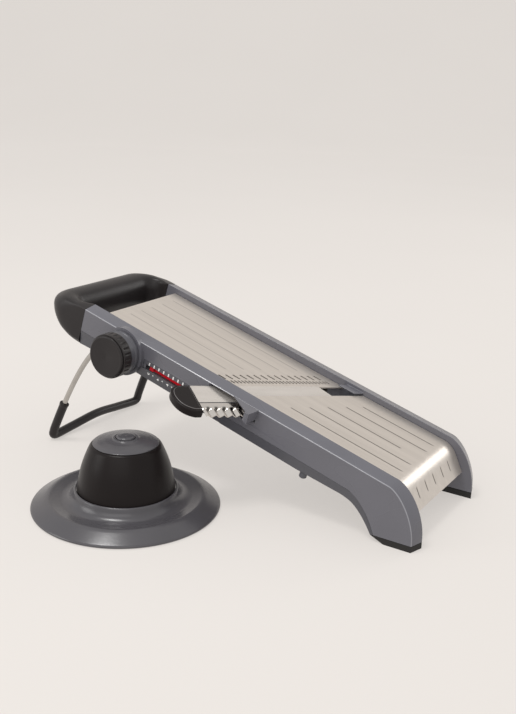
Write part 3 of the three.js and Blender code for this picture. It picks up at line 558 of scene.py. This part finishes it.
def grip():
    """The D-shaped end grip, with a sink for the screw under each end."""
    stations = [i / 12 for i in range(12)] + [1 + i / 16 for i in range(16)] + [2 + i / 10 for i in range(11)]
    rings = [grip_ring(t, -1) for t in stations] + [grip_ring(t, 1) for t in reversed(stations[:-1])]
    obj = stack("end_grip", rings, DECK)
    for side in (-1, 1):
        cut(obj, lathe("sink", [(0, -40), (3.9, -40), (3.9, -31.7), (0, -31.7)], 48,
                       DECK @ Matrix.Translation((-366, side * 62.5, 0))))
    dress(obj, BLACK, "slicer", ["handle_grip"], 0, 50)


# ---------------------------------------------------------------- plates
def diagonal(x_b):
    """How far up the deck a line along the blade, x_b in front of its edge, is at v across the deck."""
    return lambda v: EDGE_S - x_b / math.cos(BLADE_ANGLE) - v * math.tan(BLADE_ANGLE)


def stations_across(centres, half, width=0.95, plain=26):
    """Places across a plate: an even spread, and close ones in and beside each groove."""
    marks = {-half + 2 * half * i / plain for i in range(plain + 1)}
    marks = {v for v in marks if all(abs(v - c) > 1.6 * width for c in centres)}
    for centre in centres:
        marks |= {centre + width * k / 3 for k in (-4, -3, -2, -1, 0, 1, 2, 3, 4)}
    return sorted(marks)


def groove_depth(v, along, grooves, width=0.95):
    """1 in the middle of a groove, and 0 outside it. Each groove is (centre, first, last) along."""
    depth = 0
    for centre, first, last in grooves:
        across = max(0, 1 - ((v - centre) / width) ** 2)
        ends = smooth(along, first, first + 1.6) * (1 - smooth(along, last - 1.6, last))
        depth = max(depth, across * ends)
    return depth


def sheet(name, rows, matrix, thickness=SHEET):
    """A pressed sheet from rows of (place, groove) pairs, thickened downwards."""
    columns = len(rows[0])
    obj = make(name, [place for row in rows for place, _ in row], skin(len(rows), columns), matrix)
    if sum(face.normal.z for face in obj.data.polygons) < 0:
        obj.data.flip_normals()
    # The groove values are kept on the sheet to place the painted groove shade.
    mask = obj.data.attributes.new("groove", "FLOAT", "POINT")
    mask.data.foreach_set("value", [groove for row in rows for _, groove in row])
    thick = obj.modifiers.new("sheet", "SOLIDIFY")
    thick.thickness = thickness * MM
    thick.offset = -1
    return applied(obj)


LANDING_GROOVES = (-31.8, -14.7, 2.0, 19.5, 35.7)
LANDING_START = 21.3
GROOVE_DEPTH = 0.4
APRON_SLOT = (7.5, 18.5)


def landing_path():
    """The plate's side view below s = 60: down the deck, round the bend and down the apron."""
    deck = [on_deck(60 - i * 2, 0) for i in range(15)]
    a, b, c = (Vector(p) for p in (on_deck(32, 0), on_deck(22, 0), (-17, 37)))
    end = Vector((-10.5, 23.6))
    apron = [c + (end - c) * i / 12 for i in range(1, 13)]
    return [Vector(p) for p in [*deck, *bend(a, b, c, 14)[1:], *apron]]


def landing_plate():
    """The fixed plate: grooved, cut skew beside the blade, and bent down over the toes."""
    across = stations_across(LANDING_GROOVES, PLATE_HALF)
    edge = diagonal(LANDING_GAP)
    starts = [0, 1, 4, 10, 16, 20, 20.8, 21.6, 22.4, 23.2, 24.4, 26]
    lasts = [50 if v == 2.0 else 33 for v in LANDING_GROOVES]
    rows = []

    def deck_row(place):
        row = []
        for v in across:
            s = place(v)
            grooves = [(c, -edge(c) + LANDING_START, -last) for c, last in zip(LANDING_GROOVES, lasts)]
            groove = groove_depth(v, -s, grooves)
            x, z = on_deck(s, -GROOVE_DEPTH * groove)
            row.append(((x, v, z), groove))
        return row

    for start in starts:
        rows.append(deck_row(lambda v, d=start: edge(v) - d))
    for i in range(1, 40):
        rows.append(deck_row(lambda v, t=i / 40: (edge(v) - 26) * (1 - t) + 60 * t))
    path = landing_path()
    length = 0.0
    lengths = [0.0]
    for i in range(1, len(path)):
        length += (path[i] - path[i - 1]).length
        lengths.append(length)
    grooves = [(c, -50.0, 60 - last) for c, last in zip(LANDING_GROOVES, lasts)]
    grooves += [(c, length - APRON_SLOT[1], length - APRON_SLOT[0]) for c in LANDING_GROOVES]
    for i, point in enumerate(path):
        way = (path[min(i + 1, len(path) - 1)] - path[max(i - 1, 0)]).normalized()
        inwards = Vector((way.y, -way.x))
        if inwards.y > 0:
            inwards = -inwards
        row = []
        for v in across:
            groove = groove_depth(v, lengths[i], grooves)
            spot = point + inwards * GROOVE_DEPTH * groove
            row.append(((spot.x, v, spot.y), groove))
        rows.append(row)
    obj = sheet("landing_sheet", rows, SLICER)
    dress(obj, PLATE, "slicer", ["landing_plate"], 0, 45)


RUNWAY_GROOVES = (-28.0, -12.0, 4.0, 21.0, 38.6)
RUNWAY_START = 338.7
RUNWAY_FAINT = 0.4
FRY = {"count": 16, "pitch": 7.3, "row": -17.1, "length": 8.0, "start": -67.5}
JULIENNE = {"count": 31, "pitch": 3.65, "row": -8.7, "length": 4.6, "start": -60.4}


def slits(row, width, extra):
    """Cutters for one row of slits, each lying along the deck."""
    cutters = []
    for i in range(row["count"]):
        along = row["start"] + i * row["pitch"]
        x = HINGE_S - EDGE_S + row["row"] * math.cos(BLADE_ANGLE) + along * math.sin(BLADE_ANGLE)
        y = -row["row"] * math.sin(BLADE_ANGLE) + along * math.cos(BLADE_ANGLE)
        reach = (row["length"] + extra) / 2
        outline = soften([(x - reach, y - width / 2), (x + reach, y - width / 2),
                          (x + reach, y + width / 2), (x - reach, y + width / 2)], 0.6, 3)
        cutters.append(slab("slit", outline, -5, 5, RUNWAY))
    return cutters


def runway_plate():
    """The tilting plate: faintly grooved, with two rows of slits beside the blade."""
    across = stations_across(RUNWAY_GROOVES, 55.5)
    edge = diagonal(-0.6)
    ends = 34.0
    rows = []
    tops = [RUNWAY_TOP, 346, 341, 339.6, 338.8, 338, 337.2, 335]
    lows = [40, 36, 35.2, 34.4, 33.6, 32.8, 30, 26, 22, 18, 14, 10, 6, 3, 1, 0]

    def row_at(place):
        row = []
        for v in across:
            s = place(v)
            grooves = [(c, -RUNWAY_START, -edge(c) - ends) for c in RUNWAY_GROOVES]
            groove = RUNWAY_FAINT * groove_depth(v, -s, grooves)
            row.append(((HINGE_S - s, v, -GROOVE_DEPTH * groove), groove))
        return row

    rows += [row_at(lambda v, s=s: s) for s in tops]
    rows += [row_at(lambda v, t=i / 40: 335 * (1 - t) + (edge(v) + 40) * t) for i in range(1, 40)]
    rows += [row_at(lambda v, d=d: edge(v) + d) for d in lows]
    obj = sheet("runway_sheet", rows, RUNWAY)
    cut(obj, merged("slits", slits(FRY, 1.8, 0.6)), merged("fine_slits", slits(JULIENNE, 1.7, 0.8)))
    dress(obj, PLATE, "runway", ["runway_plate"], 0, 45)


# ---------------------------------------------------------------- thickness setting
def knob():
    """Black fluted knob; its height runs outwards from the rail."""
    front, back, flutes = 93.1, 82.8, 24
    sides = flutes * 10
    rings = []
    shape = [(back, -0.6), (back + 0.5, 0), (back + 1.4, 0), (back + 2.0, 0),
             (front - 2.6, 0), (front - 1.8, 0), (front - 0.5, -0.1), (front, -0.8)]
    for height, trim in shape:
        cutting = 1.0 if back + 1.6 < height < front - 2 else 0.0
        ring = []
        for i in range(sides):
            turn = 2 * math.pi * i / sides
            wave = max(0, math.cos(turn * flutes)) ** 3
            radius = DIAL_R + trim - 0.9 * cutting * wave
            ring.append((radius * math.cos(turn), radius * math.sin(turn), height))
        rings.append(ring)
    dress(stack("knob", rings, DIAL), BLACK, "dial", ["dial_knob"], 0, 35)


def knob_face():
    profile = [(0, 93.4), (17.2, 93.4), (19.0, 93.5), (19.4, 94.2), (18.8, 95.0), (17.6, 95.3), (16, 95.1),
               (0, 94.9)]
    face = lathe("knob_face", soften(profile, 0.5, 3), 128, DIAL)
    dress(face, BLACK, "dial", ["dial_cap"])


def dial_collar():
    """The fixed ring between the knob and the rail's boss."""
    foot, neck = DIAL_R - 0.4, DIAL_R - 1.3
    profile = [(4.4, 73), (foot, 73), (foot, 76.2), (neck, 77), (neck, 82.4), (4.4, 82.4)]
    collar = lathe("collar", soften(profile, 0.5, 3), 128, DIAL)
    # The darker slate on the collar is painted shade behind the knob.
    dress(collar, SLATE_DARK, "slicer", ["dial_collar"])


def scale_marks():
    """A plate above the pointer's window, with a row of white marks."""
    near, far, recess, top = (WINDOW[key] for key in ("near", "far", "recess", "top"))
    plate = box("mark_plate", (-far - 2.7, -RAIL_OUT + 0.1, top),
                (-near - GAP, -RAIL_OUT + 0.6, recess - GAP))
    dress(plate, SLATE_DARK, "slicer", ["scale_plate"], 0.1)
    marks = []
    for i in range(10):
        x = -276.5 + i * MARK_PITCH
        marks.append(box("mark", (x, -RAIL_OUT - 0.1, top + 0.3), (x + 1.3, -RAIL_OUT + 0.2, recess - 0.7)))
    dress(merged("scale_marks", marks), WHITE, "slicer")


def scale_numbers():
    """Even numbers on the lower shell, with a dot between each pair."""
    numbers = []
    for i in range(11):
        x = -276 + i * MARK_PITCH
        if i % 2 == 0:
            numbers.append(figure(str(i), x, -23.4))
        else:
            dot = [(x, -21.6), (x + 1.2, -21.6), (x + 1.2, -22.8), (x, -22.8)]
            rings = [[(a, leaning(b, out), b) for a, b in dot] for out in (0.02, 0.16)]
            numbers.append(stack("dot", rings, DECK))
    dress(merged("scale_numbers", numbers), WHITE, "slicer")


def pointer():
    """A red bar with a small head, on an arm from the sled."""
    arm = box("arm", (-POINTER_S + 4, -65, -17.1), (-POINTER_S + 12, -46, -15.6))
    bar = box("bar", (-POINTER_S, -65.8, -19.1), (-POINTER_S + 50, -64.6, -15.6))
    head = box("head", (-POINTER_S - 0.2, -67.9, -18.9), (-POINTER_S + 4, -65, -15.1))
    dress(join(bar, arm, head), RED, "sled", ["thickness_pointer"], 0.35)


def leaning(w, out):
    """The outer face of the lower shell at a height w, and a little out from it."""
    return -(RAIL_OUT - LEAN * (SPLIT - w) / (SPLIT - RAIL_BOTTOM)) - out


def figure(text, x, w):
    """A raised figure on the lower shell, upright to the deck."""
    curve = bpy.data.curves.new("figure", "FONT")
    curve.body = text
    curve.size = 4.4
    curve.offset = 0.2
    curve.extrude = 0.08
    pattern = linked("figure", curve)
    mesh = final_mesh(pattern)
    bpy.data.objects.remove(pattern)
    stand = Matrix.Translation((x, leaning(w + 1, 0.06), w - 0.2)) @ Matrix.Rotation(math.pi / 2, 4, "X")
    mesh.transform(Matrix.Scale(MM, 4) @ DECK @ stand)
    return linked("figure", mesh)


# ---------------------------------------------------------------- blade cartridge
def trimmed(piece):
    """The inner end of the bar is square to the rails, so it is skew to the blade."""
    skew = BAR @ Matrix.Translation((0, BAR_IN, 0)) @ Matrix.Rotation(BLADE_ANGLE, 4, "Z")
    return cut(piece, box("beyond", (-60, 0, -40), (90, 100, 40), skew))


def blade_grip():
    """A D-shaped handle with a raised panel."""
    left, right, end = -0.6, BAR_WIDTH - 4.4, BAR_OUT - 21
    outline = [(left, BAR_OUT), (left, BAR_OUT - 10)]
    outline += [tuple(p) for p in bend((left, BAR_OUT - 10), (left + 1, end + 1), (left + 13, end), 24)[1:]]
    outline += [tuple(p) for p in bend((left + 13, end), (right - 5, end), (right, BAR_OUT - 6), 24)[1:]]
    outline.append((right, BAR_OUT))
    handle = slab("blade_grip", outline, -7, 0.3, BAR)
    middle = Vector(((left + right) / 2, BAR_OUT - 9))
    panel = slab("panel", [tuple(middle + (Vector(p) - middle) * 0.84) for p in outline], -0.5, 0.9, BAR)
    dress(handle, SHELL_BLACK, "cartridge", ["cartridge_grip"], 1.2)
    # The panel's bevelled rim gets the lighter black: a painted highlight.
    dress(panel, SHELL_BLACK, "cartridge", [], 0.45, rim=BLACK_PAINTED_HIGHLIGHT)


def straight_blade():
    back = SEAM_X - 0.6
    outline = [(0, -0.2), (1.2, -0.03), (3, 0), (back, 0), (back, -0.8), (3, -0.8)]
    blade = trimmed(prism("blade", outline, BAR_OUT + GAP, BAR_REACH, BAR))
    dress(blade, STEEL, "cartridge", ["straight_blade"], 0.08, 3)


def wavy_blade():
    """A flat strip whose outer edge is rippled, with painted shade in notches where the ripples begin."""
    ripples, samples, height, thickness = 21, 14, 1.1, 0.75
    start, end = BAR_OUT + GAP, BAR_REACH
    flat = BAR_WIDTH - 10.4
    across = [SEAM_X + 0.6, 26, 28, flat, flat + 0.4, flat + 0.8, flat + 1.2, flat + 1.6,
              flat + 2.4, flat + 4, 37, BAR_WIDTH + 0.2]
    rows = []
    for i in range(ripples * samples + 1):
        y = start + (end - start) * i / (ripples * samples)
        valley = (1 - math.sin(2 * math.pi * i / samples)) / 2
        row = []
        for x in across:
            # Painted shade at the start of each ripple's valley.
            painted_notch_shade = smooth(x, flat - 0.5, flat + 0.4) * (1 - smooth(x, flat + 1.6, flat + 4))
            row.append(((x, y, -2 * height * smooth(x, flat, flat + 2) * valley), valley ** 2 * painted_notch_shade))
        rows.append(row)
    wavy = trimmed(sheet("rippled_blade", rows, BAR, thickness))
    dress(wavy, RIPPLE, "cartridge", ["wavy_blade"], 0, 50)


# ---------------------------------------------------------------- wire leg
def leg_line(top):
    """The wire's centre line, as closely spaced places; top trims it to below a height."""
    px, pz = on_deck(LEG_S, LEG_W)
    cx, cz = -395.6, SLEEVE_R

    def half(sign):
        down = curve_points([
            (px - 5.2, sign * LEG_Y, pz - 2.6), (px - 24, sign * LEG_Y, pz - 12),
            (px - 46, sign * LEG_Y, pz - 48), (cx + 2.6, sign * (LEG_Y + 3.4), cz + 8)], 20)
        corner = bend((cx + 1.6, sign * (LEG_Y + 3.5), cz + 5), (cx, sign * (LEG_Y + 4.2), cz),
                      (cx, sign * (LEG_Y - 2), cz), 4)
        return [Vector(place) for place in down if place[2] < top] + corner

    middle = [Vector((cx, -34, cz + 2)), Vector((cx + 1, 0, cz + 5)), Vector((cx, 34, cz + 2))]
    return through([*half(-1), *middle, *reversed(half(1))], 8)


def through(points, steps):
    """A smooth line through the points (centripetal Catmull-Rom)."""
    ends = [points[0] * 2 - points[1], *points, points[-1] * 2 - points[-2]]
    line = []
    for a, b, c, d in zip(ends, ends[1:], ends[2:], ends[3:]):
        knots = [0.0]
        for p, q in ((a, b), (b, c), (c, d)):
            knots.append(knots[-1] + max(1e-6, (q - p).length) ** 0.5)
        t0, t1, t2, t3 = knots
        for i in range(steps):
            t = t1 + (t2 - t1) * i / steps
            e = a.lerp(b, (t - t0) / (t1 - t0))
            f = b.lerp(c, (t - t1) / (t2 - t1))
            g = c.lerp(d, (t - t2) / (t3 - t2))
            h = e.lerp(f, (t - t0) / (t2 - t0))
            k = f.lerp(g, (t - t1) / (t3 - t1))
            line.append(h.lerp(k, (t - t1) / (t2 - t1)))
    return [*line, points[-1]]


def tube(name, line, radius, sides, matrix):
    """A round bar along a line; radius is a function of the distance from its nearer end."""
    lengths = [0.0]
    for p, q in zip(line, line[1:]):
        lengths.append(lengths[-1] + (q - p).length)
    rings = []
    normal = Vector((0, 1, 0))
    for i, place in enumerate(line):
        way = (line[min(i + 1, len(line) - 1)] - line[max(i - 1, 0)]).normalized()
        normal = (normal - way * normal.dot(way)).normalized()
        other = way.cross(normal)
        size = radius(min(lengths[i], lengths[-1] - lengths[i]))
        rings.append([place + (normal * math.cos(a) + other * math.sin(a)) * size
                      for a in (2 * math.pi * k / sides for k in range(sides))])
    return stack(name, rings, matrix)


def leg_wire():
    wire = tube("leg_bar", leg_line(1000), lambda d: WIRE_R, 20, SLICER)
    dress(wire, WIRE, "leg", ["leg_wire"])


def leg_sleeve():
    """A rubber sleeve round the foot of the wire, with a bead at each end."""
    def radius(d):
        return SLEEVE_R + 0.4 * (1 - smooth(d, 1.5, 3))

    cuff = tube("leg_cover", leg_line(SLEEVE_TOP), radius, 24, SLICER)
    bore = tube("bore", leg_line(SLEEVE_TOP + 2), lambda d: WIRE_R + 0.2, 16, SLICER)
    dress(cut(cuff, bore), BLACK, "leg", ["leg_sleeve"], 0, 50)


# ---------------------------------------------------------------- food holder
def turned(name, profile, reach, steps, segments):
    """A piece turned about the holder's axis from a profile with rounded corners."""
    return lathe(name, soften(profile, reach, steps), segments, HOLDER)


def holder_brim():
    profile = [(79.6, 0), (81.2, 0.5), (81.6, 1.8), (80.6, 3), (69.4, 9.2), (66.4, 10.2), (63.4, 9.4),
               (55, 7.4), (50, 8.2), (46.4, 11.6), (44.6, 17.2), (42.5, 17.2), (43.6, 10.4), (49, 6),
               (55, 5.2), (64, 7.2), (67, 7.8), (69, 7)]
    brim = turned("brim", profile, 2.4, 5, 192)
    dress(brim, BRIM, "holder", ["holder_brim"], 0, 50)


def holder_dome():
    profile = [(42.4, 13), (42.3, 17.5), (41.6, 22), (40.2, 29), (38.2, 37), (35.6, 44.5), (32.4, 52),
               (30.6, 55.6), (28.8, 57.2), (26.8, 57.2), (30, 51), (33.4, 43.6), (36, 36), (38, 28),
               (39.2, 22), (40, 17.5), (40, 13)]
    dome = turned("dome", profile, 4, 4, 160)
    dress(dome, SHELL_BLACK, "holder", ["holder_dome"], 0, 50)


def holder_cap():
    """The cap in the dome's top, with a collar round the button."""
    profile = [(26.2, 54), (26.2, 57.5), (28.4, 57.5), (28, 58.2), (24, 59.4), (17, 60.8), (11.4, 61.5),
               (10.8, 62.4), (8.6, 62.4), (8.6, 58), (20, 57), (24.4, 54)]
    cap = turned("cap", profile, 0.6, 3, 160)
    dress(cap, BRIM, "holder", ["holder_cap"], 0, 50)


def plunger_button():
    profile = [(0, 60), (8.2, 60), (8.2, 63), (7.2, 63.8), (4, 64.2), (0, 64.3)]
    button = turned("button", profile, 0.8, 3, 96)
    dress(button, BRIM, "plunger", ["plunger_button"])


# ---------------------------------------------------------------- the remaining CAD nodes
def finish_nodes():
    """The plain pieces keep their CAD shape, with soft edges and a material."""
    looks = {
        "foot_rubber": (RUBBER, 0.8), "black_soft": (BLACK, 0.5), "inner_plastic": (INNER, 0.3),
        "slate": (SLATE, 0.4), "slate_dark": (SLATE_DARK, 0.4), "red_plastic": (RED, 0.3),
        "plate_steel": (PLATE, 0.1), "blade_steel": (STEEL, 0.12), "brim_plastic": (BRIM, 0.4),
    }
    slots = {part["node"]: part["material_slot"] for part in frame["record"]["subparts"]}
    for name, node in frame["nodes"].items():
        material, edge = (TEETH, 0.12) if name.endswith("comb") else looks[slots[name]]
        node.data.materials.clear()
        node.data.materials.append(material)
        if not node.hide_render:
            soft_edges(node, edge, 2)


# ---------------------------------------------------------------- floor, light and camera
LIGHT_COLOUR = (1.0, 0.99, 0.975)
AZIMUTH, ELEVATION, ROLL = math.radians(31.944), math.radians(17.278), math.radians(1.928)
AIM = BASE + Vector((-280.68, 135.53, 60))
DISTANCE, LENS = 1039.5, 47.55
RIGHT = Vector((math.cos(AZIMUTH), math.sin(AZIMUTH), 0))
AHEAD = Vector((-math.sin(AZIMUTH), math.cos(AZIMUTH), 0))


def camera():
    forward = AHEAD * math.cos(ELEVATION) - Vector((0, 0, math.sin(ELEVATION)))
    above = RIGHT.cross(forward)
    right = RIGHT * math.cos(ROLL) + above * math.sin(ROLL)
    above = above * math.cos(ROLL) - RIGHT * math.sin(ROLL)
    data = bpy.data.cameras.new("camera")
    data.lens = LENS
    data.clip_end = 30
    obj = linked("camera", data)
    turn = Matrix((right, above, -forward)).transposed().to_4x4()
    obj.matrix_world = Matrix.Translation((AIM - forward * DISTANCE) * MM) @ turn
    bpy.context.scene.camera = obj


def floor():
    """A pale floor that curves up into a wall far behind the object."""
    start, radius = 3.5, 2.5
    turns = [math.pi / 2 * i / 32 for i in range(33)]
    line = [(-4.0, 0.0)]
    line += [(start + radius * math.sin(t), radius * (1 - math.cos(t))) for t in turns]
    line.append((start + radius, 6.0))
    places = []
    for away, height in line:
        for side in (-8, 8):
            spot = AHEAD * away + RIGHT * side
            places.append((spot.x / MM, spot.y / MM, height / MM))
    obj = make("floor", places, skin(len(line), 2))
    material, tree, shader = new_material("floor_paper", (0.26, 0.245, 0.23), 0.9)
    paper = noise(tree, coordinates(tree, (0.6, 0.6, 0.6)), 2)
    shade = tint(tree, spread(tree, paper, 0, 1), (0.255, 0.241, 0.229), (0.265, 0.251, 0.239))
    tree.links.new(shade, shader.inputs["Base Color"])
    shader.inputs["Emission Color"].default_value = (1.0, 0.95, 0.905, 1)
    shader.inputs["Emission Strength"].default_value = 0.5
    obj.data.materials.append(material)
    for face in obj.data.polygons:
        face.use_smooth = True


def area_light(name, place, size, watts, shine=1.0):
    """A rectangular light aimed at the middle of the object; shine scales its reflections."""
    data = bpy.data.lights.new(name, "AREA")
    data.shape = "RECTANGLE"
    data.size, data.size_y = size
    data.energy = watts
    data.color = LIGHT_COLOUR
    data.specular_factor = shine
    obj = linked(name, data)
    obj.location = place
    target = Vector((0, 0, 0.05))
    obj.rotation_euler = (target - Vector(place)).to_track_quat("-Z", "Y").to_euler()


def lights():
    world = bpy.data.worlds.new("world")
    world.use_nodes = True
    sky = world.node_tree.nodes["Background"]
    sky.inputs["Color"].default_value = (*LIGHT_COLOUR, 1)
    sky.inputs["Strength"].default_value = 0.8
    bpy.context.scene.world = world
    up = Vector((0, 0, 1))
    area_light("overhead", -RIGHT * 0.55 - AHEAD * 0.3 + up * 2.0, (0.5, 0.5), 15)
    area_light("bend_light", RIGHT * 1.75 + AHEAD * 1.1 + up * 0.85, (0.8, 0.6), 5)
    area_light("fill", -AHEAD * 2.2 - RIGHT * 0.6 + up * 1.5, (2.6, 1.4), 11, 0)
    area_light("left_light", -RIGHT * 2.2 - AHEAD * 0.5 + up * 0.9, (1.0, 1.2), 9)
    bpy.context.scene.view_settings.view_transform = "Standard"


# ---------------------------------------------------------------- the scene
for rail_side, rail_label in ((-1, "dial_side"), (1, "far_side")):
    upper_rail(rail_side, rail_label)
    lower_rail(rail_side, rail_label)
grip()
landing_plate()
runway_plate()
knob()
knob_face()
dial_collar()
scale_marks()
scale_numbers()
pointer()
blade_grip()
straight_blade()
wavy_blade()
leg_wire()
leg_sleeve()
holder_brim()
holder_dome()
holder_cap()
plunger_button()
finish_nodes()
floor()
lights()
camera()
